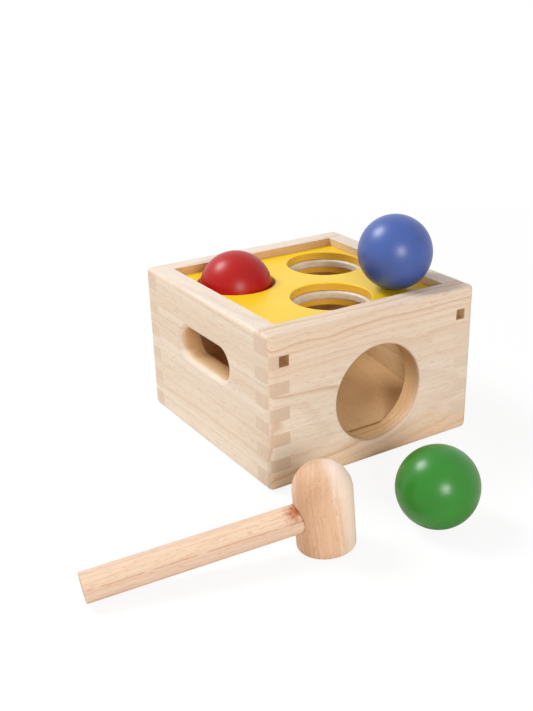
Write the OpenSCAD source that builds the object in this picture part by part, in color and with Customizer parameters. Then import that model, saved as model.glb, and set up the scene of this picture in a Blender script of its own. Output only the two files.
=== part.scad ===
// Wooden ball drop box with three balls and a mallet.
// Millimetres, +Z up. The origin is on the table under the middle of the box.
// +X is to the right of the front wall, and the front wall faces -Y.

/* [Box] */
// Width of the box, left to right
box_w = 150; // [140:1:220]
// Depth of the box, front to back
box_d = 150; // [140:1:220]
// Height of the box
box_h = 97; // [92:1:130]
// Thickness of the four walls
wall_t = 14; // [12:0.5:18]
// Rounding of the upright edges and of the outer bottom edges
edge_r = 4; // [3:0.5:6]
// Rounding of the outer edges of the rim
rim_r = 2.5; // [1:0.25:2.75]

/* [Finger joints] */
// Height of one finger
finger_h = 8; // [6:0.5:9]
// Fingers between the tall top and bottom ones, first and last on the side walls
finger_n = 9; // [5:2:9]

/* [Balls] */
// Diameter of a ball
ball_d = 46.3; // [40:0.1:50]
// Gap between a ball and what it rests on
rest_gap = 0.15; // [0.1:0.05:0.3]
// Blue ball, distance of its centre from the right wall's inner face
blue_inset_x = 20.6; // [20:0.1:30]
// Blue ball, distance of its centre from the front wall's inner face
blue_inset_y = 21.8; // [17:0.1:24]
// Green ball, distance of its centre left of the middle of the box
green_side = 17.5; // [0:0.5:60]
// Green ball, distance of its centre in front of the front wall
green_ahead = 78.6; // [40:0.1:140]

/* [Ball exit] */
// How much wider the exit is than a ball
exit_play = 15.6; // [4:0.1:18]
// Height of the exit's centre
exit_z = 43.4; // [40:0.1:50]
// Distance of the exit's centre right of the middle of the wall
exit_side = 2.7; // [0:0.1:4]
// Rounding of the exit's outer lip
exit_ease = 1.5; // [0.5:0.5:4]

/* [Hand slots] */
// Length of a hand slot
slot_l = 59; // [50:1:80]
// Height of a hand slot
slot_h = 20.4; // [18:0.1:24]
// Height of a hand slot's centre
slot_z = 61.8; // [58:0.1:64]
// Rounding of a hand slot's outer lip
slot_ease = 3.5; // [0.5:0.5:4]

/* [Plates] */
// Height of the groove that holds the lower plate
groove_h = 6.5; // [5:0.5:7]
// Depth of the groove
groove_d = 6.5; // [4:0.5:8]
// Clearance of a plate in its groove or between the walls
plate_play = 0.15; // [0.1:0.05:0.4]
// Depth of the upper plate below the rim
rim_drop = 5; // [3:0.5:7]
// How much wider a drop hole is than a ball
hole_play = 3.7; // [2:0.1:4]
// Wood left between a back hole and the upper plate's side edge
hole_margin_x = 1.6; // [1.6:0.05:8]
// Wood left between a hole and the upper plate's front or back edge
hole_margin_y = 7.55; // [2:0.05:12]
// Rounding of a drop hole's top edge
hole_ease = 0.8; // [0.2:0.2:1.2]

/* [Rubber rings] */
// How much narrower a ring is than a ball
ring_grip = 0.2; // [0.2:0.1:1]
// How far a ring's pocket reaches past the wall of its hole
ring_seat = 1; // [0.8:0.1:1.2]
// Height of a ring
ring_h = 5.4; // [4:0.1:5.5]
// Rounding of a ring's inner edges
ring_ease = 1.5; // [0.6:0.1:1.8]
// Clearance of a ring in its pocket
ring_play = 0.25; // [0.15:0.05:0.4]
// Wood left above a ring's pocket
lip_t = 5; // [4:0.5:6]

/* [Ramp] */
// Thickness of the ramp board
ramp_t = 6; // [4:0.5:7]
// Slope of the ramp, down towards the exit
ramp_angle = 8; // [4:0.5:9]
// Height of the ramp's front edge and of the sill's inner edge above the lowest point of the exit
ramp_step = 2; // [0.5:0.1:4]
// Clearance of the ramp board between the walls
ramp_play = 0.4; // [0.1:0.05:0.5]
// Width of the cleats under the ramp
cleat_w = 8; // [5:0.5:12]
// Height of the cleats
cleat_h = 7; // [4:0.5:8]
// Distance of a guide block's tip from the edge of the exit
guide_gap = 2; // [0:0.5:4]
// Length of the guide blocks along the side walls
guide_l = 28; // [20:1:50]
// Height of the guide blocks above the ramp
guide_h = 12; // [10:0.5:16]

/* [Mallet] */
// Diameter of the head
head_d = 32; // [26:0.1:40]
// Length of the head with its domed end
head_l = 49; // [42:0.1:70]
// Rounding of the edge of the head's flat end
head_ease = 1; // [0.5:0.5:3]
// Diameter of the handle
handle_d = 16; // [10:0.1:18]
// Length of the handle from the head's axis to its free end
handle_l = 128; // [90:1:200]
// Height above the head's flat end where the handle's axis meets the head's axis
handle_z = 20.4; // [15:0.1:24]
// How far the handle dips below square to the head, in degrees
handle_lean = 2.2; // [0:0.1:4]
// Bevel of the handle's ends
handle_ease = 0.4; // [0.4:0.2:2]
// Wood left behind the end of the handle's bore
bore_end = 6; // [4:0.5:8]
// Gap between the handle and its bore, for glue
glue_gap = 0.05; // [0.02:0.01:0.1]
// Distance of the head's resting edge left of the middle of the box
mallet_side = 94.2; // [60:0.1:160]
// Distance of the head's resting edge in front of the front wall
mallet_ahead = 58.1; // [45:0.1:140]
// Turn of the mallet on the table, clockwise from above
mallet_turn = 11.5; // [0:0.5:40]

/* [Hidden] */
$fn = 128;

// A cut reaches this far past the face that it opens
over = 1;
// Angle between two points of a rounded lip, and the angle where the lip leaves its face
lip_step = 15;
lip_end = 75;

// Space between the walls
inner_x = box_w / 2 - wall_t;
inner_y = box_d / 2 - wall_t;

// The tall fingers above and below the row of equal ones
end_finger = (box_h - finger_n * finger_h) / 2;

// The groove sits in the middle of the uppermost finger of the side walls
groove_z = box_h - end_finger - (finger_h + groove_h) / 2;

// Plates: the lower one lies in the groove, and the upper one lies on it
lower_x = inner_x + groove_d - plate_play;
lower_y = inner_y + groove_d - plate_play;
lower_top = groove_z + groove_h - plate_play;
upper_x = inner_x - plate_play;
upper_y = inner_y - plate_play;
upper_top = box_h - rim_drop;

// Drop holes: two at the back and one in the middle at the front
ball_r = ball_d / 2;
hole_r = (ball_d + hole_play) / 2;
hole_x = upper_x - hole_margin_x - hole_r;
hole_y = upper_y - hole_margin_y - hole_r;
HOLES = [[-hole_x, hole_y], [hole_x, hole_y], [0, -hole_y]];

// Rings: bands with rounded inner edges
pocket_r = hole_r + ring_seat;
pocket_top = upper_top - lip_t;
pocket_floor = pocket_top - ring_h - ring_play;
ring_r = (ball_d - ring_grip) / 2;
ring_out_r = pocket_r - ring_play;
ring_mid = ring_r + ring_ease;

// Balls: the red one sits on its ring, the blue one on the upper plate, the green one on the table
seat_rise = sqrt(pow(ball_r + ring_ease + rest_gap, 2) - pow(ring_mid, 2));
red_at = [HOLES[0][0], HOLES[0][1], pocket_floor + ring_h - ring_ease + seat_rise];
blue_at = [inner_x - blue_inset_x, blue_inset_y - inner_y, upper_top + ball_r + rest_gap];
green_at = [-green_side, -box_d / 2 - green_ahead, ball_r];

// Ramp: its top runs up from the front wall to the back wall
exit_r = (ball_d + exit_play) / 2;
ramp_x = inner_x - ramp_play;
ramp_y = inner_y - ramp_play;
ramp_front = exit_z - exit_r + ramp_step;
ramp_drop = ramp_t / cos(ramp_angle);
guide_tip = exit_side + exit_r + guide_gap;

// Mallet: it leans on the edge of its flat end and on the end of its handle
head_r = head_d / 2;
handle_r = handle_d / 2;
bore_l = head_r - bore_end;
handle_end_x = handle_l * cos(handle_lean) - handle_r * sin(handle_lean);
handle_end_z = handle_z - handle_l * sin(handle_lean) - handle_r * cos(handle_lean);
mallet_tilt = atan2(handle_end_z, handle_end_x - head_r);

WOOD = "#e6cfb4";
SHADED_WOOD = "#c9a06a";
YELLOW = "#f7cf1d";
RUBBER = "#e3ddd6";
PEACH_WOOD = "#edc29b";

// Quarter disc: its centre at the origin, turned by an angle
module quarter_disc(r, turn) {
  intersection() {
    circle(r);
    rotate(turn)
      square(r);
  }
}

// Section of the outside of the box: the outermost edge_r of it, its outer side to the right
module edge_section() {
  translate([0, edge_r])
    quarter_disc(edge_r, -90);
  translate([0, edge_r])
    square([edge_r, box_h - edge_r - rim_r]);
  translate([0, box_h - rim_r])
    square([edge_r - rim_r, rim_r]);
  translate([edge_r - rim_r, box_h - rim_r])
    quarter_disc(rim_r, 0);
}

// A straight stretch of the outside with this length, its inner corner at the origin, facing +X
module edge_strip(l) {
  rotate([90, 0, 0])
    linear_extrude(l)
      edge_section();
}

// The outside of the box as one block with rounded edges and rolled corners
module box_block() {
  half_x = box_w / 2 - edge_r;
  half_y = box_d / 2 - edge_r;
  translate([-half_x, -half_y, 0])
    cube([2 * half_x, 2 * half_y, box_h]);
  for (turn = [0, 180])
    rotate([0, 0, turn]) {
      translate([half_x, half_y, 0])
        edge_strip(2 * half_y);
      translate([-half_x, half_y, 0])
        rotate([0, 0, 90])
          edge_strip(2 * half_x);
      translate([half_x, half_y, 0])
        rotate_extrude(angle = 90)
          edge_section();
      translate([-half_x, half_y, 0])
        rotate([0, 0, 90])
          rotate_extrude(angle = 90)
            edge_section();
    }
}

// Half of a hole's section: radius to the right, way out upwards, the wall's face at height 0
module lip_section(r, deep, ease) {
  arc = [for (a = [0:lip_step:lip_end]) [r + ease * (1 - cos(a)), ease * (sin(a) - 1)]];
  last = arc[len(arc) - 1];
  flare = (over - last[1]) * tan(lip_end);
  polygon(concat([[0, -deep], [r, -deep]], arc, [[last[0] + flare, over], [0, over]]));
}

// Round hole with an eased lip, its axis upwards
module eased_bore(r, deep, ease) {
  rotate_extrude()
    lip_section(r, deep, ease);
}

// Long hole with round ends and an eased lip, lying along X, its axis upwards
module eased_slot(l, h, deep, ease) {
  half = l / 2 - h / 2;
  for (turn = [0, 180])
    rotate([0, 0, turn]) {
      translate([half, 0, 0])
        rotate([0, 0, -90])
          rotate_extrude(angle = 180)
            lip_section(h / 2, deep, ease);
      translate([-half, 0, 0])
        rotate([90, 0, 90])
          linear_extrude(2 * half)
            lip_section(h / 2, deep, ease);
    }
}

// Every second finger, from the first one up: these belong to the side walls
module side_fingers(x, y, w, d) {
  for (i = [0:2:finger_n - 1])
    translate([x, y, end_finger + i * finger_h])
      cube([w, d, finger_h]);
}

// A wall that faces -Y, with notches for the side walls' fingers and a groove
module end_wall() {
  intersection() {
    box_block();
    difference() {
      translate([-box_w / 2, -box_d / 2, 0])
        cube([box_w, wall_t, box_h]);
      side_fingers(-box_w / 2, -box_d / 2, wall_t, wall_t);
      side_fingers(inner_x, -box_d / 2, wall_t, wall_t);
      translate([-inner_x, -inner_y - groove_d, groove_z])
        cube([2 * inner_x, groove_d + over, groove_h]);
    }
  }
}

// A wall that faces -X, with fingers, a hand slot and a groove that runs out at both ends
module side_wall() {
  intersection() {
    box_block();
    difference() {
      union() {
        translate([-box_w / 2, -inner_y, 0])
          cube([wall_t, 2 * inner_y, box_h]);
        side_fingers(-box_w / 2, -box_d / 2, wall_t, box_d);
      }
      translate([-inner_x - groove_d, -box_d / 2 - over, groove_z])
        cube([groove_d + over, box_d + 2 * over, groove_h]);
      translate([-box_w / 2, 0, slot_z])
        rotate([0, -90, 0])
          rotate([0, 0, 90])
            eased_slot(slot_l, slot_h, wall_t + over, slot_ease);
    }
  }
}

// The ball exit as a cut, with its sloping sill left standing
module exit_cut() {
  difference() {
    translate([exit_side, -box_d / 2, exit_z])
      rotate([90, 0, 0])
        eased_bore(exit_r, wall_t + over, exit_ease);
    sill();
  }
}

// Wood under the sill, which runs down from the ramp's front edge to the lowest point of the exit
module sill() {
  low = exit_z - exit_r;
  lip_y = exit_ease - box_d / 2;
  back_y = over - inner_y;
  slope = (ramp_front - low) / (-inner_y - lip_y);
  back_z = low + slope * (back_y - lip_y);
  translate([exit_side - exit_r, 0, 0])
    rotate([90, 0, 90])
      linear_extrude(2 * exit_r)
        polygon([[lip_y, low], [lip_y, low - over], [back_y, low - over], [back_y, back_z]]);
}

module front_wall() {
  color(WOOD)
    difference() {
      end_wall();
      exit_cut();
    }
}

module back_wall() {
  color(WOOD)
    mirror([0, 1, 0])
      end_wall();
}

module left_wall() {
  color(WOOD)
    side_wall();
}

module right_wall() {
  color(WOOD)
    mirror([1, 0, 0])
      side_wall();
}

// The plate that shows: bores with an eased edge above, ring pockets below
module upper_plate() {
  color(YELLOW)
    difference() {
      translate([-upper_x, -upper_y, lower_top])
        cube([2 * upper_x, 2 * upper_y, upper_top - lower_top]);
      for (h = HOLES) {
        translate([h[0], h[1], upper_top])
          eased_bore(hole_r, upper_top - lower_top + over, hole_ease);
        translate([h[0], h[1], lower_top - over])
          cylinder(r = pocket_r, h = pocket_top - lower_top + over);
      }
    }
}

// The plate in the groove: bores with shallow ring pockets above
module lower_plate() {
  color(YELLOW)
    difference() {
      translate([-lower_x, -lower_y, groove_z])
        cube([2 * lower_x, 2 * lower_y, lower_top - groove_z]);
      for (h = HOLES) {
        translate([h[0], h[1], groove_z - over])
          cylinder(r = hole_r, h = groove_h + 2 * over);
        translate([h[0], h[1], pocket_floor])
          cylinder(r = pocket_r, h = lower_top - pocket_floor + over);
      }
    }
}

// A rubber ring on the floor of its pocket
module ring(h) {
  color(RUBBER)
    translate([h[0], h[1], pocket_floor])
      rotate_extrude() {
        translate([ring_mid, 0])
          square([ring_out_r - ring_mid, ring_h]);
        translate([ring_r, ring_ease])
          square([ring_ease, ring_h - 2 * ring_ease]);
        translate([ring_mid, ring_ease])
          quarter_disc(ring_ease, 180);
        translate([ring_mid, ring_h - ring_ease])
          quarter_disc(ring_ease, 90);
      }
}

// A strip along the slope, seen from the side, from one height to another below the ramp's top
module slope_section(from_y, to_y, low, high) {
  polygon([
    for (p = [[from_y, low], [to_y, low], [to_y, high], [from_y, high]])
      [p[0], ramp_front + (p[0] + ramp_y) * tan(ramp_angle) + p[1]]
  ]);
}

// The same strip as a solid between two places along X
module slope_block(x0, x1, from_y, to_y, low, high) {
  translate([x0, 0, 0])
    rotate([90, 0, 90])
      linear_extrude(x1 - x0)
        slope_section(from_y, to_y, low, high);
}

module ramp_board() {
  color(SHADED_WOOD)
    slope_block(-ramp_x, ramp_x, -ramp_y, ramp_y, -ramp_drop, 0);
}

// Cleat on the right wall's inner face, under the ramp
module cleat() {
  color(SHADED_WOOD)
    slope_block(inner_x - cleat_w, inner_x, -inner_y, inner_y, -ramp_drop - cleat_h, -ramp_drop);
}

// Block in the front right corner of the ramp that turns a ball towards the exit
module guide() {
  color(SHADED_WOOD)
    intersection() {
      slope_block(guide_tip, ramp_x, -ramp_y, guide_l - ramp_y, 0, guide_h);
      linear_extrude(box_h)
        polygon([[guide_tip, -ramp_y], [ramp_x, -ramp_y], [ramp_x, guide_l - ramp_y]]);
    }
}

module ball(paint, at) {
  color(paint)
    translate(at)
      sphere(ball_r);
}

// Puts the mallet on the table: standing on its flat end, then tilted, turned and set down
module laid_mallet() {
  translate([-mallet_side, -box_d / 2 - mallet_ahead, 0])
    rotate([0, -mallet_tilt, -mallet_turn])
      translate([head_r, 0, 0])
        children();
}

// Turns -X into the way along the handle, from the head's axis to the free end
module along_handle() {
  translate([0, 0, handle_z])
    rotate([0, -handle_lean, 0])
      children();
}

// Head: a round bar with a domed end and a blind bore for the handle
module mallet_head() {
  color(PEACH_WOOD)
    laid_mallet()
      difference() {
        rotate_extrude()
          head_section();
        along_handle()
          translate([-head_r - over, 0, 0])
            rotate([0, 90, 0])
              cylinder(r = handle_r + glue_gap, h = head_r + over + bore_l);
      }
}

// Half of the head's section, its flat end at height 0
module head_section() {
  dome = head_l - head_r;
  edge = [for (a = [-90:lip_step:0]) [head_r - head_ease + head_ease * cos(a), head_ease * (1 + sin(a))]];
  polygon(concat([[0, 0]], edge, [[head_r, dome], [0, dome]]));
  intersection() {
    translate([0, dome])
      circle(head_r);
    translate([0, dome])
      square(head_r + over);
  }
}

// Handle: a round bar with bevelled ends, from the bore's end to its free end
module mallet_handle() {
  color(PEACH_WOOD)
    laid_mallet()
      along_handle()
        translate([bore_l, 0, 0])
          rotate([0, -90, 0])
            rotate_extrude()
              handle_section(bore_l + handle_l);
}

// Half of the handle's section, its inner end at height 0
module handle_section(l) {
  narrow = handle_r - handle_ease;
  polygon([[0, 0], [narrow, 0], [handle_r, handle_ease], [handle_r, l - handle_ease], [narrow, l], [0, l]]);
}

front_wall();
back_wall();
left_wall();
right_wall();
upper_plate();
lower_plate();
ring(HOLES[0]);  // back_left_ring
ring(HOLES[1]);  // back_right_ring
ring(HOLES[2]);  // front_ring
ramp_board();
mirror([1, 0, 0]) cleat();  // left_cleat
cleat();  // right_cleat
mirror([1, 0, 0]) guide();  // left_guide
guide();  // right_guide
ball("#b8312a", red_at);  // red_ball
ball("#3f5fa6", blue_at);  // blue_ball
ball("#2f8a35", green_at);  // green_ball
mallet_head();
mallet_handle();
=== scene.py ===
import math
from typing import Callable, NamedTuple

import bmesh
import bpy
from mathutils import Matrix, Vector


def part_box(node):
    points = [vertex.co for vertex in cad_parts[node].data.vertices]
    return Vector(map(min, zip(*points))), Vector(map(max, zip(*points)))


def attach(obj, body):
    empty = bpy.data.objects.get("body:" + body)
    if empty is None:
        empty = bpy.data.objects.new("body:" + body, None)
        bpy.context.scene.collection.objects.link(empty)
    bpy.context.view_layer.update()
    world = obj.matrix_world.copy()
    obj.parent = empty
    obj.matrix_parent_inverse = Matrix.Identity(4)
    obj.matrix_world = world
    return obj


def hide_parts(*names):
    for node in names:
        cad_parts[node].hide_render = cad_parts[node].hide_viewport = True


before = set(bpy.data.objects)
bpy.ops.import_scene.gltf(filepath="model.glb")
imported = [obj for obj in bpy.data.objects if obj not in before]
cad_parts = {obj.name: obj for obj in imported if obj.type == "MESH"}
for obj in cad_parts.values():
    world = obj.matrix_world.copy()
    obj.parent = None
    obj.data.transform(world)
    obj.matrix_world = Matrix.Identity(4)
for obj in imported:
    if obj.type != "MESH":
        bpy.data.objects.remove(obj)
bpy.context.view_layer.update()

X = Vector((1, 0, 0))
Y = Vector((0, 1, 0))
Z = Vector((0, 0, 1))

# Camera, fitted to the photograph: degrees, metres, and pixels of its frame
IMAGE_W = 533
IMAGE_H = 711
AZIMUTH = -33.56
ELEVATION = 25.15
ROLL = -0.58
DISTANCE = 0.6711
AIM = Vector((0.00075, 0, 0.012))
FOCAL_PX = 1005.8
PRINCIPAL_X = 307.5
PRINCIPAL_Y = 397.7
SENSOR_MM = 36
NEAR_CLIP = 0.01

# Softboxes: where each stands as seen from the box, its size in metres, its power in watts, its colour
LIGHT_DISTANCE = 1.6
KEY_FROM = (-0.39, 0.48, 0.79)
KEY_SIZE = 0.55
KEY_WATTS = 17
KEY_COLOUR = (0.95, 0.985, 1)
FRONT_FROM = (-0.28, -0.88, 0.36)
FRONT_SIZE = 0.48
FRONT_WATTS = 11.5
FRONT_COLOUR = (1, 0.99, 0.97)

# Light from the horizon and from overhead; what the floor throws back and what the camera sees of it
WHITE = (1, 1, 1, 1)
HORIZON = 0.1
OVERHEAD = 0.55
AMBIENT_COLOUR = (1, 0.98, 0.95, 1)
FLOOR_SIZE = 12
FLOOR_BOUNCE = (0.86, 0.82, 0.76, 1)
FLOOR_GLOW = 0.88
FLOOR_SHADED = (0.12, 0.12, 0.12, 1)
SHADOW_REACH = (0.35, 0.7)

# Mesh finish: metres and degrees, then how an eased arris is rounded and shaded
WELD = 1e-6
FLAT_ANGLE = 0.5
ARRIS_ANGLE = 35
JOINT_EASE = 0.00012
PLATE_EASE = 0.0004
MALLET_EASE = 0.0002
ARRIS_STEPS = 2
ARRIS_PROFILE = 0.5
FLAT_FACE_WEIGHT = 100

# Places on the box in metres, and where the painted shade of its bores, groove, foot and ramp edge, the
# rim's tone and the front's warmer upper part begin and end
INNER_HALF = 0.061
EXIT_X = 0.0027
EXIT_Z = 0.0434
EXIT_R = 0.03095
EXIT_EASE = 0.0015
EXIT_TINT_Y = (-0.0775, -0.0685)
SLOT_Z = 0.0618
SLOT_HALF_L = 0.033
SLOT_HALF_H = 0.0137
SLOT_TINT_X = (0.0685, 0.0755)
RIM_Z = (0.088, 0.09)
RIPE_Z = (0.05, 0.09)
GROOVE_Z = 0.0805
GROOVE_HALF_H = 0.0033
FOOT_Z = (0.003, 0.03)
RAMP_GAP_SHADE_Y = (-0.0603, -0.0585)
MASK_BLUR = 0.0003

# Places on the mallet from the middle of its head: metres along the handle, up the head and aside
CHEEK_AT = (0.0103, 0.0171, -0.0086)
MOUTH_AT = (0.0175, 0.0042, -0.0038)

# How far the painted shade on the cheek, the dark patch by the mouth and the dark line with painted
# shade round the joint reach, and the radius of the head, in metres
CHEEK_REACH = (0.003, 0.013)
DARK_PATCH_REACH = 0.009
JOINT_REACH = 0.0018
HEAD_R = 0.016

# Warm side of the head, painted shade: its direction, likewise, and how far before the middle it starts
# and is full
WARM_SHADE_TOWARDS = (0.92, -0.2, 0.38)
HEAD_WARM_SHADE_FROM = 0.013
HEAD_WARM_SHADE_FULL = 0.005

# Pale side of the head, end grain with painted light: its direction in the frame, and the cosines to it
# between which it fades in
PALE_LIT_TOWARDS = Vector((0.85, -0.32, 0.42))
PALE_LIT_COSINES = (0.18, 0.7)

# Change of tone along the mallet's handle: metres above its middle, its blur, and half of its dark line
HANDLE_CHANGE_UP = 0.0028
HANDLE_CHANGE_BLUR = 0.0004
HANDLE_LINE_HALF = 0.0002

# Cosines between which a face comes to look along a direction, and to look up or down instead of aside
FACING_LOW = 0.6
FACING_HIGH = 0.85
UPRIGHT_COSINES = (0.2, 0.6)

# Marks of wood: features a metre along the grain, across it and through the board
WANDER_GRAIN = (9, 22, 22)
RIPPLE_GRAIN = (40, 110, 110)
STREAK_GRAIN = (7, 420, 420)
FIBRE_GRAIN = (60, 1500, 1500)
PORE_GRAIN = (190, 1300, 1300)
PATCH_GRAIN = (6, 24, 24)

# Growth rings: how far they swing in metres, their late wood as shares of a ring, and their tone
WANDER_SWINGS = (0.016, 0.012)
RIPPLE_SWING = 0.0016
LATE_START = 0.4
LATE_PEAK = 0.86
FAINTEST_RING = 0.2
SLOW_PER_RING = 0.35

# Noise values between which each mark fades in or the roughness changes
WARM_EDGE = (0.36, 0.64)
STREAK_EDGE = (0.35, 0.75)
FIBRE_EDGE = (0.45, 0.8)
PORE_EDGE = (0.58, 0.68)
SHADE_EDGE = (0.3, 0.75)
BLOOM_EDGE = (0.35, 0.75)
GAP_EDGE = (0.3, 0.5)
ROUGHNESS_EDGE = (0.2, 0.8)
RUBBER_ROUGHNESS_EDGE = (0.3, 0.7)

# Shares of the warm mask, which on the mallet's head is painted shade, the rim's tone and the end
# grain's tone in the wood's colour
WARM_AND_SHADE_SHARE = 0.55
RIM_SHARE = 0.7
END_SHARE = 0.75

# Features a metre of the other noises, the same along all three axes or along a plate's grain
MOTTLE = (35, 35, 35)
PEEL = (700, 700, 700)
BLOOM = (160, 160, 160)
GAPS = (120, 120, 120)
RAGGED = (500, 500, 500)
PLATE_GRAIN = (14, 420, 420)
BALL_GRAIN = (300, 300, 300)

# Surface of the wood: roughness, shine, shares of its marks in the relief, the relief's depth in metres
WOOD_ROUGHNESS = (0.46, 0.6)
WOOD_SHINE = 0.3
STREAK_RELIEF = 0.5
PORE_RELIEF = 0.6
WOOD_DEPTH = 0.00006

# Surface of the paint: how far its roughness varies, and its relief likewise
SMOOTHER_BY = 0.04
ROUGHER_BY = 0.05
FIBRE_RELIEF = 0.6
PEEL_RELIEF = 0.4
PAINT_DEPTH = 0.00004

# Surface of the rubber: roughness, shine, milky share, how deep light goes in, the relief's depth
RUBBER_ROUGHNESS = (0.26, 0.38)
RUBBER_SHINE = 0.4
RUBBER_MILK = 0.2
MILK_RADIUS = (0.003, 0.0026, 0.0022)
RUBBER_DEPTH = 0.00003

# How strongly the relief shows, on wood and paint and on rubber
HARD_RELIEF = 0.6
SOFT_RELIEF = 0.4

# Colour sockets of the mix node
MIX_FIRST = 6
MIX_SECOND = 7
MIX_COLOUR = 2


def rgb(r, g, b):
    """A colour as seen on screen, 0 to 255 a channel, made linear for the shaders by the sRGB curve."""
    linear = []
    for value in (r / 255, g / 255, b / 255):
        linear.append(value / 12.92 if value <= 0.04045 else ((value + 0.055) / 1.055) ** 2.4)
    return (*linear, 1)


class Board(NamedTuple):
    """How a piece lies in its log, in metres.

    grain and across are unit vectors. pith and lean give the place and the slope of the log's middle,
    across and through. Its rings lie spacing apart, and wave scales their swing. The warm mask marks the
    warm wood, and on the mallet's head painted shade; the end mask marks the faces that take the end
    tone, on the mallet's head end grain with painted light: without it, those across the grain.
    """

    grain: Vector
    across: Vector
    pith: tuple
    lean: tuple
    spacing: float
    wave: float = 1
    warm_and_shade: Callable = None
    cut: Callable = None


class Tones(NamedTuple):
    """Colours of a wood: two of its ground, its dark lines, its end grain, on the mallet's head also its
    pale side with painted light, and the box's rim.
    """

    pale: tuple
    warm: tuple
    line: tuple
    end: tuple = None
    upper: tuple = None


class Coat(NamedTuple):
    """A satin paint: its two tones, how rough and shiny it is, and the seed of its noise."""

    colour: tuple
    shade: tuple
    roughness: float
    shine: float
    seed: int


# Colours of the wood
LINE = rgb(206, 160, 124)
UPPER = rgb(241, 229, 217)
FRONT_UPPER = rgb(233, 213, 194)
FRONT_TONES = Tones(rgb(244, 229, 214), rgb(236, 212, 189), LINE, rgb(224, 198, 176), FRONT_UPPER)
BACK_TONES = FRONT_TONES._replace(upper=UPPER)
LEFT_TONES = Tones(rgb(241, 226, 209), rgb(236, 216, 194), LINE, rgb(215, 187, 163), UPPER)
RIGHT_TONES = LEFT_TONES._replace(end=rgb(230, 209, 189))
INNER_TONES = Tones(rgb(232, 197, 150), rgb(226, 188, 139), rgb(194, 148, 102), rgb(210, 170, 126))
# On the mallet's head the warm tone also serves its painted shade side, and the end tone its pale side,
# end grain with painted light
HEAD_TONES = Tones(rgb(251, 227, 205), rgb(224, 181, 146), rgb(200, 145, 107), rgb(255, 233, 218))
HANDLE_TONES = Tones(rgb(224, 198, 180), rgb(242, 213, 186), rgb(212, 158, 116), rgb(236, 198, 166))
BARE = rgb(172, 142, 112)
BARE_LINE = rgb(150, 116, 82)

# Tints that the wood is multiplied by: painted shade and painted light, a grain line, a dark patch and a
# joint line
# Warm painted shade on the walls' inner faces and deep in the exit and the hand slots; less of it on the
# right wall's inner face, as painted light, and more on the back wall's
INNER_PAINTED_SHADE = rgb(243, 222, 184)
INNER_PAINTED_LIGHT_AND_SHADE = rgb(255, 243, 212)
BACK_INNER_PAINTED_SHADE = rgb(237, 213, 172)
# Painted shade in the groove that holds the plates, on its top and bottom faces and at its ends in the
# front wall
GROOVE_PAINTED_SHADE = rgb(224, 192, 150)
GROOVE_END_PAINTED_SHADE = rgb(250, 232, 190)
# Painted shade, darker and warmer, along the foot of the front face
FOOT_PAINTED_SHADE = rgb(255, 241, 224)
# Painted shadow in the gap along the ramp's front edge
RAMP_GAP_PAINTED_SHADOW = rgb(190, 160, 128)
# A dark, ragged patch on the handle beside the head
DARK_PATCH_TINT = rgb(190, 128, 88)
HANDLE_LINE_TINT = rgb(240, 218, 200)
# A dark line round the handle's joint with the head: the joint's own line and painted contact shade
JOINT_LINE_AND_SHADE = rgb(190, 144, 108)
# Painted shade on the mallet head's cheek
CHEEK_PAINTED_SHADE = rgb(245, 239, 235)

# Colours of the paint and the rubber
YELLOW = Coat(rgb(248, 207, 24), rgb(246, 201, 18), roughness=0.34, shine=0.45, seed=5)
# Darker, browner yellow of the plates' upright faces: painted shade in their bores
YELLOW_SIDES_PAINTED_SHADE = rgb(246, 191, 60)
BALL_COATS = {
    "red": Coat(rgb(181, 22, 18), rgb(171, 18, 14), roughness=0.35, shine=0.3, seed=61),
    "blue": Coat(rgb(67, 94, 168), rgb(59, 85, 158), roughness=0.35, shine=0.55, seed=67),
    "green": Coat(rgb(45, 132, 36), rgb(39, 122, 30), roughness=0.29, shine=0.45, seed=71),
}
RING = rgb(233, 218, 197)
RING_SHADE = rgb(219, 203, 181)


class Nodes:
    """A node tree in the making: most methods add a node and return its output."""

    def __init__(self, tree):
        self.tree = tree
        tree.nodes.clear()

    def feed(self, socket, value):
        if isinstance(value, bpy.types.NodeSocket):
            self.tree.links.new(value, socket)
        else:
            socket.default_value = value

    def node(self, kind, *values, **settings):
        """A node with these values on its first sockets."""
        made = self.tree.nodes.new(kind)
        for key, value in settings.items():
            setattr(made, key, value)
        for socket, value in zip(made.inputs, values):
            self.feed(socket, value)
        return made

    def named(self, made, **values):
        """Feeds a node's sockets by their names, with underscores for spaces."""
        for key, value in values.items():
            self.feed(made.inputs[key.replace("_", " ")], value)
        return made

    def out(self, kind, *values, **settings):
        """The first output of a new node."""
        return self.node(kind, *values, **settings).outputs[0]

    def math(self, operation, *values):
        return self.out("ShaderNodeMath", *values, operation=operation)

    def mix(self, factor, first, second):
        """The first shader where the factor is 0, the second where it is 1."""
        return self.out("ShaderNodeMixShader", factor, first, second)

    def seen_directly(self):
        """1 for rays from the camera and for reflections, 0 for light that bounces."""
        path = self.node("ShaderNodeLightPath")
        total = path.outputs["Is Camera Ray"]
        for name in ("Is Glossy Ray", "Is Transmission Ray"):
            total = self.math("MAXIMUM", total, path.outputs[name])
        return total


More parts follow.
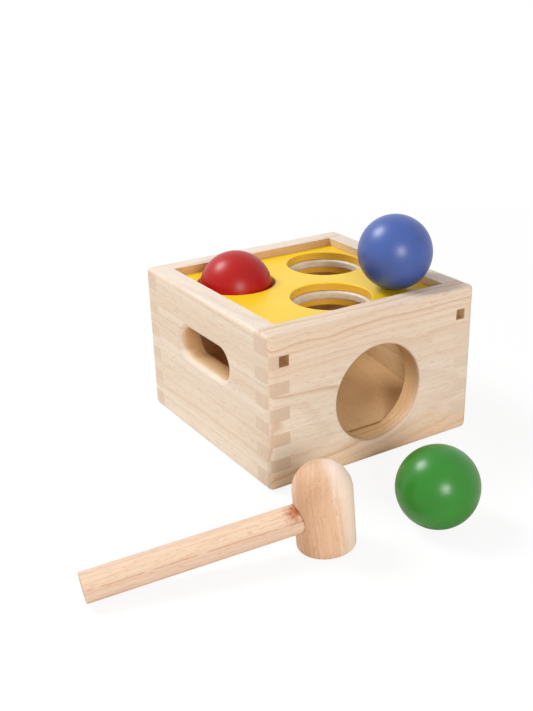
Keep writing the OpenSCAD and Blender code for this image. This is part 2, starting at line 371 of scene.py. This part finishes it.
class Shader(Nodes):
    """A material in the making, in the coordinates of the object that wears it."""

    def __init__(self, name):
        self.material = bpy.data.materials.new(name)
        self.material.use_nodes = True
        super().__init__(self.material.node_tree)
        coords = self.node("ShaderNodeTexCoord")
        self.place = coords.outputs["Object"]
        self.facing = coords.outputs["Normal"]

    def vector(self, operation, *values):
        made = self.node("ShaderNodeVectorMath", *values, operation=operation)
        return made.outputs["Value" if operation in ("DOT_PRODUCT", "DISTANCE") else "Vector"]

    def noise(self, place, per_metre, seed=0, detail=2, roughness=0.5):
        """Noise from 0 to 1 with this many features a metre along each axis."""
        made = self.node("ShaderNodeTexNoise", noise_dimensions="4D")
        scaled = self.vector("MULTIPLY", place, per_metre)
        self.named(made, Vector=scaled, W=seed, Scale=1, Detail=detail, Roughness=roughness)
        return made.outputs["Fac"]

    def swing(self, place, per_metre, seed=0, detail=2):
        """Noise from -0.5 to 0.5."""
        return self.math("SUBTRACT", self.noise(place, per_metre, seed, detail), 0.5)

    def step(self, value, low, high, start=0, end=1):
        """A smooth step from start to end as the value goes from low to high."""
        kind = "ShaderNodeMapRange"
        return self.out(kind, value, low, high, start, end, interpolation_type="SMOOTHSTEP")

    def blend(self, factor, first, second, mode="MIX"):
        made = self.node("ShaderNodeMix", factor, data_type="RGBA", blend_type=mode)
        self.feed(made.inputs[MIX_FIRST], first)
        self.feed(made.inputs[MIX_SECOND], second)
        return made.outputs[MIX_COLOUR]

    def along(self, direction):
        """How far the point lies along a direction, from the origin."""
        return self.vector("DOT_PRODUCT", self.place, direction)

    def faces(self, direction, low=FACING_LOW, high=FACING_HIGH):
        """1 where the surface looks along a direction."""
        return self.step(self.vector("DOT_PRODUCT", self.facing, direction), low, high)

    def length(self, first, second):
        squares = self.math("ADD", self.math("POWER", first, 2), self.math("POWER", second, 2))
        return self.math("SQRT", squares)

    def bump(self, height, depth, strength):
        made = self.named(self.node("ShaderNodeBump"), Strength=strength, Distance=depth, Height=height)
        return made.outputs[0]

    def finish(self, **inputs):
        """Closes the material with one principled shader."""
        shader = self.named(self.node("ShaderNodeBsdfPrincipled"), **inputs)
        self.node("ShaderNodeOutputMaterial", shader.outputs[0])
        return self.material


def inside(s, direction, middle, half):
    """1 within a distance of a place along a direction."""
    away = s.math("ABSOLUTE", s.math("SUBTRACT", s.along(direction), middle))
    return s.step(away, half, half + MASK_BLUR, 1, 0)


def exit_bore_shade(s):
    """1 deep in the ball exit, where the wood takes painted shade, 0 outside its lip."""
    away = s.length(s.math("SUBTRACT", s.along(X), EXIT_X), s.math("SUBTRACT", s.along(Z), EXIT_Z))
    area = s.step(away, EXIT_R, EXIT_R + EXIT_EASE, 1, 0)
    return s.math("MULTIPLY", s.step(s.along(Y), *EXIT_TINT_Y), area)


def slot_bore_shade(s):
    """1 deep in a hand slot, where the wood takes painted shade, 0 at its outer lip."""
    deep = s.step(s.math("ABSOLUTE", s.along(X)), *SLOT_TINT_X, 1, 0)
    area = s.math("MULTIPLY", inside(s, Y, 0, SLOT_HALF_L), inside(s, Z, SLOT_Z, SLOT_HALF_H))
    return s.math("MULTIPLY", deep, area)


def groove_faces(direction):
    """A mask of the groove's faces that look along a direction or against it."""
    def both(s):
        pair = s.math("ADD", s.faces(direction), s.faces(-direction))
        return s.math("MULTIPLY", pair, inside(s, Z, GROOVE_Z, GROOVE_HALF_H))
    return both


def front_foot_shade(s):
    """1 along the foot of the front face, where it takes painted shade."""
    return s.math("MULTIPLY", s.faces(-Y), s.step(s.along(Z), *FOOT_Z, 1, 0))


def ramp_gap_shade(s):
    """1 along the ramp's front edge, where a painted shadow darkens the gap there."""
    return s.step(s.along(Y), *RAMP_GAP_SHADE_Y, 1, 0)


def past(direction, start, end):
    """A mask that rises from 0 to 1 between two places along a direction."""
    return lambda s: s.step(s.along(direction), start, end)


def facing_in(direction, low=FACING_LOW, high=FACING_HIGH):
    """A mask of the faces that look along a direction, as the cosine to it goes from low to high."""
    return lambda s: s.faces(direction, low, high)


def broken_line(direction, middle, half):
    """A mask of a thin layer across a direction, with gaps in it."""
    def gapped(s):
        gaps = s.step(s.noise(s.place, GAPS, detail=1), *GAP_EDGE)
        return s.math("MULTIPLY", inside(s, direction, middle, half), gaps)
    return gapped


def ragged_patch(at, reach):
    """A ragged mask that is strongest at a place and fades out over a distance."""
    def ragged(s):
        away = s.math("MULTIPLY_ADD", s.swing(s.place, RAGGED), reach, s.vector("DISTANCE", s.place, at))
        return s.step(away, 0, reach, 1, 0)
    return ragged


def round_bar(at, axis, radius, reach):
    """A mask that is 1 within a round bar and fades out over a distance from it."""
    def beside(s):
        turned = s.vector("CROSS_PRODUCT", s.vector("SUBTRACT", s.place, at), axis)
        return s.step(s.vector("DISTANCE", turned, (0, 0, 0)), radius, radius + reach, 1, 0)
    return beside


def spot(at, core, reach):
    """A mask that is 1 within the core round a place and 0 past its reach."""
    return lambda s: s.step(s.vector("DISTANCE", s.place, at), core, reach, 1, 0)


def growth_rings(s, board, through, place, seed):
    """Late wood of each ring, 0 to 1, most rings faint, and the slow change of tone across them."""
    wander = s.swing(place, WANDER_GRAIN, seed, detail=2)
    ripple = s.swing(place, RIPPLE_GRAIN, seed + 1, detail=3)
    offsets = []
    directions = (board.across, through)
    for direction, start, lean, swing in zip(directions, board.pith, board.lean, WANDER_SWINGS):
        drift = s.math("MULTIPLY_ADD", s.along(board.grain), -lean, -start)
        offset = s.math("ADD", s.along(direction), drift)
        offsets.append(s.math("MULTIPLY_ADD", wander, swing * board.wave, offset))
    radius = s.math("MULTIPLY_ADD", ripple, RIPPLE_SWING * board.wave, s.length(*offsets))
    ring = s.math("DIVIDE", radius, board.spacing)
    part = s.math("FRACT", ring)
    late = s.math("MULTIPLY", s.step(part, LATE_START, LATE_PEAK), s.step(part, LATE_PEAK, 1, 1, 0))
    count = s.node("ShaderNodeTexWhiteNoise", noise_dimensions="1D")
    s.named(count, W=s.math("ADD", s.math("FLOOR", ring), seed))
    strong = s.math("POWER", count.outputs["Value"], 2)
    weight = s.math("MULTIPLY_ADD", strong, 1 - FAINTEST_RING, FAINTEST_RING)
    slow = s.node("ShaderNodeTexNoise", noise_dimensions="1D")
    s.named(slow, W=s.math("MULTIPLY_ADD", ring, SLOW_PER_RING, seed), Scale=1, Detail=1)
    return s.math("MULTIPLY", late, weight), slow.outputs["Fac"]


def wood(name, board, tones, seed, lines, streaks=0.14, pores=0.3, tints_and_shade=()):
    """Sawn wood as a solid: growth rings, streaks, fibres and pores, end grain, and tints, most of them
    painted shade.

    lines, streaks and pores say how strongly each shows. The last argument holds pairs of a mask and the
    tint
    that the wood is multiplied by there: mostly painted shade and painted light, besides a grain line, a
    joint line and a dark patch.
    """
    s = Shader(name)
    through = board.grain.cross(board.across)
    place = s.out("ShaderNodeCombineXYZ", s.along(board.grain), s.along(board.across), s.along(through))
    ring, slow = growth_rings(s, board, through, place, seed)
    streak = s.noise(place, STREAK_GRAIN, seed + 2, detail=3)
    fibre = s.noise(place, FIBRE_GRAIN, seed + 5, detail=3, roughness=0.65)
    pore = s.step(s.noise(place, PORE_GRAIN, seed + 3, detail=1), *PORE_EDGE)
    patch = s.noise(place, PATCH_GRAIN, seed + 4, detail=2)
    mean = s.math("MULTIPLY_ADD", patch, 0.5, s.math("MULTIPLY", slow, 0.5))
    warmth = s.step(mean, *WARM_EDGE)
    if board.warm_and_shade is not None:
        warm_and_shade = s.math("MULTIPLY", board.warm_and_shade(s), WARM_AND_SHADE_SHARE)
        warmth = s.math("MULTIPLY_ADD", warmth, 1 - WARM_AND_SHADE_SHARE, warm_and_shade)

    colour = s.blend(warmth, tones.pale, tones.warm)
    if tones.upper is not None:
        rim = s.math("MULTIPLY", s.faces(Z), s.step(s.along(Z), *RIM_Z, 0, RIM_SHARE))
        colour = s.blend(rim, colour, tones.upper)
    colour = s.blend(s.math("MULTIPLY", ring, lines), colour, tones.line)
    colour = s.blend(s.step(streak, *STREAK_EDGE, 0, streaks), colour, tones.line)
    colour = s.blend(s.step(fibre, *FIBRE_EDGE, 0, pores), colour, tones.line)
    colour = s.blend(s.math("MULTIPLY", pore, pores), colour, tones.line)
    if tones.end is not None:
        if board.cut is None:
            cut = s.math("ADD", s.faces(board.grain), s.faces(-board.grain))
        else:
            cut = board.cut(s)
        colour = s.blend(s.math("MULTIPLY", cut, END_SHARE), colour, tones.end)
    for mask, tint in tints_and_shade:
        colour = s.blend(mask(s), colour, tint, "MULTIPLY")

    pits = s.math("MULTIPLY", pore, PORE_RELIEF)
    relief = s.math("SUBTRACT", s.math("MULTIPLY", streak, STREAK_RELIEF), pits)
    return s.finish(
        Base_Color=colour,
        Roughness=s.step(streak, *ROUGHNESS_EDGE, *WOOD_ROUGHNESS),
        Specular_IOR_Level=WOOD_SHINE,
        Normal=s.bump(relief, WOOD_DEPTH, HARD_RELIEF),
    )


def paint(name, coat, grain, shaded_sides=None, bare_beyond=None):
    """Satin paint over wood: slow changes of tone and a little of the grain as relief.

    The upright faces take their own colour, a darker yellow that paints shade into the bores, and past
    bare_beyond the wood is bare.
    """
    s = Shader(name)
    mottle = s.noise(s.place, MOTTLE, coat.seed, detail=3)
    peel = s.noise(s.place, PEEL, coat.seed + 1, detail=2)
    fibre = s.noise(s.place, grain, coat.seed + 2, detail=2)
    tone = s.blend(s.step(mottle, *SHADE_EDGE), coat.colour, coat.shade)
    if shaded_sides is not None:
        upward = s.math("ABSOLUTE", s.vector("DOT_PRODUCT", s.facing, Z))
        tone = s.blend(s.step(upward, *UPRIGHT_COSINES, 1, 0), tone, shaded_sides)
    if bare_beyond is not None:
        reach = s.math("MAXIMUM", s.math("ABSOLUTE", s.along(X)), s.math("ABSOLUTE", s.along(Y)))
        bare = s.step(reach, bare_beyond, bare_beyond + MASK_BLUR)
        tone = s.blend(bare, tone, s.blend(fibre, BARE, BARE_LINE))
    relief = s.math("MULTIPLY_ADD", fibre, FIBRE_RELIEF, s.math("MULTIPLY", peel, PEEL_RELIEF))
    roughness = (coat.roughness - SMOOTHER_BY, coat.roughness + ROUGHER_BY)
    return s.finish(
        Base_Color=tone,
        Roughness=s.step(mottle, *ROUGHNESS_EDGE, *roughness),
        Specular_IOR_Level=coat.shine,
        Normal=s.bump(relief, PAINT_DEPTH, HARD_RELIEF),
    )


def rubber(name, colour, shade, seed):
    """Milky soft rubber with a dusty bloom."""
    s = Shader(name)
    bloom = s.noise(s.place, BLOOM, seed, detail=3)
    return s.finish(
        Base_Color=s.blend(s.step(bloom, *BLOOM_EDGE), colour, shade),
        Roughness=s.step(bloom, *RUBBER_ROUGHNESS_EDGE, *RUBBER_ROUGHNESS),
        Specular_IOR_Level=RUBBER_SHINE,
        Subsurface_Weight=RUBBER_MILK,
        Subsurface_Radius=MILK_RADIUS,
        Subsurface_Scale=1,
        Normal=s.bump(bloom, RUBBER_DEPTH, SOFT_RELIEF),
    )


def eased(node, body, material, ease):
    """A copy of a node's mesh with its arrises taken off, which stands for the node."""
    work = bmesh.new()
    work.from_mesh(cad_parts[node].data)
    bmesh.ops.remove_doubles(work, verts=work.verts[:], dist=WELD)
    bmesh.ops.dissolve_limit(
        work, angle_limit=math.radians(FLAT_ANGLE), verts=work.verts[:], edges=work.edges[:]
    )
    arrises = [e for e in work.edges if e.calc_face_angle(0) > math.radians(ARRIS_ANGLE)]
    bmesh.ops.bevel(
        work, geom=arrises, offset=ease, offset_type="OFFSET", segments=ARRIS_STEPS,
        profile=ARRIS_PROFILE, affect="EDGES", clamp_overlap=True,
    )
    for face in work.faces:
        face.smooth = True
    mesh = bpy.data.meshes.new(node + "_eased")
    work.to_mesh(mesh)
    work.free()
    mesh.materials.append(material)
    piece = bpy.data.objects.new(node + "_eased", mesh)
    bpy.context.scene.collection.objects.link(piece)
    weighted = piece.modifiers.new("weighted", "WEIGHTED_NORMAL")
    weighted.weight = FLAT_FACE_WEIGHT
    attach(piece, body)
    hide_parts(node)


def dress(node, material):
    """Gives a node that keeps its own mesh its material."""
    node_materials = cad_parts[node].data.materials
    node_materials.clear()
    node_materials.append(material)


def long_axis(node):
    """Unit vector along a long node, towards its lower end."""
    points = [vertex.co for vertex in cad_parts[node].data.vertices]
    low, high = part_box(node)
    longest = max(range(3), key=lambda axis: high[axis] - low[axis])
    middle = (low[longest] + high[longest]) / 2
    first = [p for p in points if p[longest] < middle]
    second = [p for p in points if p[longest] >= middle]
    run = sum(first, Vector()) / len(first) - sum(second, Vector()) / len(second)
    return run.normalized() if run.z < 0 else -run.normalized()


def middle_of(node):
    low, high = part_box(node)
    return (Vector(low) + Vector(high)) / 2


def pith_beside(node, grain, across, aside, behind):
    """The pith's place for a board, from its distances to the middle of a node."""
    middle = middle_of(node)
    return (middle.dot(across) + aside, middle.dot(grain.cross(across)) + behind)


def camera_back():
    """Unit vector from the aim towards the camera."""
    turn = math.radians(AZIMUTH)
    rise = math.radians(ELEVATION)
    return Vector((math.sin(turn) * math.cos(rise), -math.cos(turn) * math.cos(rise), math.sin(rise)))


def place_camera():
    data = bpy.data.cameras.new("camera")
    data.sensor_width = SENSOR_MM
    data.lens = FOCAL_PX / IMAGE_H * SENSOR_MM
    data.shift_x = (IMAGE_W / 2 - PRINCIPAL_X) / IMAGE_H
    data.shift_y = (PRINCIPAL_Y - IMAGE_H / 2) / IMAGE_H
    data.clip_start = NEAR_CLIP
    camera = bpy.data.objects.new("camera", data)
    back = camera_back()
    turn = back.to_track_quat("Z", "Y").to_matrix().to_4x4()
    roll = Matrix.Rotation(math.radians(ROLL), 4, "Z")
    camera.matrix_world = Matrix.Translation(AIM + DISTANCE * back) @ turn @ roll
    bpy.context.scene.collection.objects.link(camera)
    bpy.context.scene.camera = camera


def softbox(name, stands, size, watts, colour):
    data = bpy.data.lights.new(name, "AREA")
    data.shape = "SQUARE"
    data.size = size
    data.energy = watts
    data.color = colour
    lamp = bpy.data.objects.new(name, data)
    away = Vector(stands).normalized()
    lamp.location = AIM + LIGHT_DISTANCE * away
    lamp.rotation_euler = away.to_track_quat("Z", "Y").to_euler()
    bpy.context.scene.collection.objects.link(lamp)


def white_world():
    """White to the camera and in reflections, and a soft light that grows towards overhead."""
    world = bpy.data.worlds.new("white_room")
    world.use_nodes = True
    s = Nodes(world.node_tree)
    direction = s.node("ShaderNodeTexCoord").outputs["Generated"]
    height = s.node("ShaderNodeSeparateXYZ", direction).outputs["Z"]
    strength = s.out("ShaderNodeMapRange", height, 0, 1, HORIZON, OVERHEAD)
    lighting = s.out("ShaderNodeBackground", AMBIENT_COLOUR, strength)
    white = s.out("ShaderNodeBackground", WHITE, 1)
    s.node("ShaderNodeOutputWorld", s.mix(s.seen_directly(), lighting, white))
    bpy.context.scene.world = world


def floor_shader():
    """White with the object's soft shadow near it, plain white further out.

    Light that bounces meets a matt floor, and so do reflections near the object.
    """
    s = Shader("white_floor")
    bounce = s.out("ShaderNodeBsdfDiffuse", FLOOR_BOUNCE)
    glow = s.out("ShaderNodeEmission", WHITE, FLOOR_GLOW)
    shaded = s.out("ShaderNodeBsdfDiffuse", FLOOR_SHADED)
    near = s.out("ShaderNodeAddShader", glow, shaded)
    mirrored = s.mix(s.node("ShaderNodeLightPath").outputs["Is Glossy Ray"], near, bounce)
    white = s.out("ShaderNodeEmission", WHITE, 1)
    shown = s.mix(s.step(s.length(s.along(X), s.along(Y)), *SHADOW_REACH), mirrored, white)
    s.node("ShaderNodeOutputMaterial", s.mix(s.seen_directly(), bounce, shown))
    return s.material


def white_floor():
    half = FLOOR_SIZE / 2
    mesh = bpy.data.meshes.new("floor")
    corners = [(-half, -half, 0), (half, -half, 0), (half, half, 0), (-half, half, 0)]
    mesh.from_pydata(corners, [], [(0, 1, 2, 3)])
    mesh.materials.append(floor_shader())
    floor = bpy.data.objects.new("floor", mesh)
    bpy.context.scene.collection.objects.link(floor)


# Walls: rings round a pith behind the board, so that the faces show long wavy lines
front_board = Board(
    X, Z, pith=(0.036, 0.02), lean=(0.03, -0.06), spacing=0.0034, wave=1.1, warm_and_shade=past(Z, *RIPE_Z),
)
back_board = Board(X, Z, pith=(0.03, -0.03), lean=(0.05, 0.1), spacing=0.0036)
left_board = Board(Y, Z, pith=(-0.05, -0.02), lean=(0.03, 0.05), spacing=0.006)
right_board = Board(Y, Z, pith=(0.15, 0.02), lean=(0.04, 0.06), spacing=0.0055)
# Painted shade on the walls' inner faces, in the exit, the hand slots and the groove and along the
# front's foot, and painted light on the right wall's inner face
front_shade = (
    (facing_in(Y), INNER_PAINTED_SHADE),
    (exit_bore_shade, INNER_PAINTED_SHADE),
    (front_foot_shade, FOOT_PAINTED_SHADE),
    (groove_faces(X), GROOVE_END_PAINTED_SHADE),
)
back_shade = ((facing_in(-Y), BACK_INNER_PAINTED_SHADE),)
bore_and_groove_shade = ((slot_bore_shade, INNER_PAINTED_SHADE), (groove_faces(Z), GROOVE_PAINTED_SHADE))
left_shade = ((facing_in(X), INNER_PAINTED_SHADE), *bore_and_groove_shade)
right_light_and_shade = ((facing_in(-X), INNER_PAINTED_LIGHT_AND_SHADE), *bore_and_groove_shade)
WALLS = {
    "front_wall": dict(board=front_board, tones=FRONT_TONES, seed=3, lines=0.72, tints_and_shade=front_shade),
    "back_wall": dict(board=back_board, tones=BACK_TONES, seed=17, lines=0.45, tints_and_shade=back_shade),
    "left_wall": dict(board=left_board, tones=LEFT_TONES, seed=29, lines=0.3, tints_and_shade=left_shade),
    "right_wall": dict(board=right_board, tones=RIGHT_TONES, seed=41, lines=0.3, tints_and_shade=right_light_and_shade),
}
for wall, look in WALLS.items():
    eased(wall, "box", wood(wall + "_wood", **look), JOINT_EASE)

# Plates, rings and the ramp with its cleats and guides
yellow = paint("yellow_paint", YELLOW, PLATE_GRAIN, YELLOW_SIDES_PAINTED_SHADE)
tongued_yellow = paint("tongued_yellow_paint", YELLOW, PLATE_GRAIN, YELLOW_SIDES_PAINTED_SHADE, INNER_HALF)
eased("upper_plate", "box", yellow, PLATE_EASE)
eased("lower_plate", "box", tongued_yellow, PLATE_EASE)
milky = rubber("ring_rubber", RING, RING_SHADE, seed=7)
for ring_node in ("back_left_ring", "back_right_ring", "front_ring"):
    dress(ring_node, milky)
inner_board = Board(Y, X, pith=(0.02, -0.05), lean=(0.05, 0.04), spacing=0.006)
# Painted shadow in the gap at the ramp's front edge
ramp_shade = ((ramp_gap_shade, RAMP_GAP_PAINTED_SHADOW),)
ramp_wood = wood("ramp_wood", inner_board, INNER_TONES, seed=53, lines=0.2, tints_and_shade=ramp_shade)
eased("ramp_board", "box", ramp_wood, JOINT_EASE)
inner_wood = wood("inner_wood", inner_board, INNER_TONES, seed=59, lines=0.2)
for board_node in ("left_cleat", "right_cleat", "left_guide", "right_guide"):
    eased(board_node, "box", inner_wood, JOINT_EASE)

# Balls
for hue, coat in BALL_COATS.items():
    dress(hue + "_ball", paint(hue + "_paint", coat, BALL_GRAIN))

# Mallet: the head stands nearly square to the handle, which runs down towards its free end
handle_axis = long_axis("mallet_handle")
mallet_side = handle_axis.cross(Z).normalized()
head_axis = mallet_side.cross(handle_axis)
head_middle = middle_of("mallet_head")


def on_mallet(along, up, aside):
    """A vector given along the mallet's handle, up its head and aside."""
    return along * handle_axis + up * head_axis + aside * mallet_side


# The head's warm side is painted shade, and its pale side end grain with painted light
warm_shaded_side = on_mallet(*WARM_SHADE_TOWARDS)
head_warm_shade = warm_shaded_side.dot(head_middle)
head_board = Board(
    head_axis, mallet_side,
    pith=pith_beside("mallet_head", head_axis, mallet_side, aside=0.026, behind=0.065),
    lean=(0.03, 0.02), spacing=0.0026, wave=0.1,
    warm_and_shade=past(warm_shaded_side, head_warm_shade - HEAD_WARM_SHADE_FROM, head_warm_shade - HEAD_WARM_SHADE_FULL),
    cut=facing_in(PALE_LIT_TOWARDS, *PALE_LIT_COSINES),
)
# Painted shade on the head's cheek
head_shade = ((spot(head_middle + on_mallet(*CHEEK_AT), *CHEEK_REACH), CHEEK_PAINTED_SHADE),)
head_wood = wood(
    "head_wood", head_board, HEAD_TONES, seed=83, lines=0.4, streaks=0.2, pores=0.45, tints_and_shade=head_shade,
)
handle_change = head_axis.dot(middle_of("mallet_handle")) + HANDLE_CHANGE_UP
handle_board = Board(
    handle_axis, mallet_side,
    pith=pith_beside("mallet_handle", handle_axis, mallet_side, aside=0.038, behind=-0.07),
    lean=(0.01, 0), spacing=0.0024, wave=0.1,
    warm_and_shade=past(head_axis, handle_change - HANDLE_CHANGE_BLUR, handle_change + HANDLE_CHANGE_BLUR),
)
# On the handle: a dark patch beside the head, a grain line, and a dark joint line with painted contact
# shade
handle_marks_and_shade = (
    (ragged_patch(head_middle + on_mallet(*MOUTH_AT), DARK_PATCH_REACH), DARK_PATCH_TINT),
    (broken_line(head_axis, handle_change, HANDLE_LINE_HALF), HANDLE_LINE_TINT),
    (round_bar(head_middle, head_axis, HEAD_R, JOINT_REACH), JOINT_LINE_AND_SHADE),
)
handle_wood = wood(
    "handle_wood", handle_board, HANDLE_TONES, seed=97, lines=0.38, streaks=0.18, pores=0.5,
    tints_and_shade=handle_marks_and_shade,
)
eased("mallet_head", "mallet", head_wood, MALLET_EASE)
eased("mallet_handle", "mallet", handle_wood, MALLET_EASE)

# Camera, light and floor
place_camera()
softbox("key", KEY_FROM, KEY_SIZE, KEY_WATTS, KEY_COLOUR)
softbox("front", FRONT_FROM, FRONT_SIZE, FRONT_WATTS, FRONT_COLOUR)
white_world()
white_floor()
bpy.context.scene.view_settings.view_transform = "Standard"
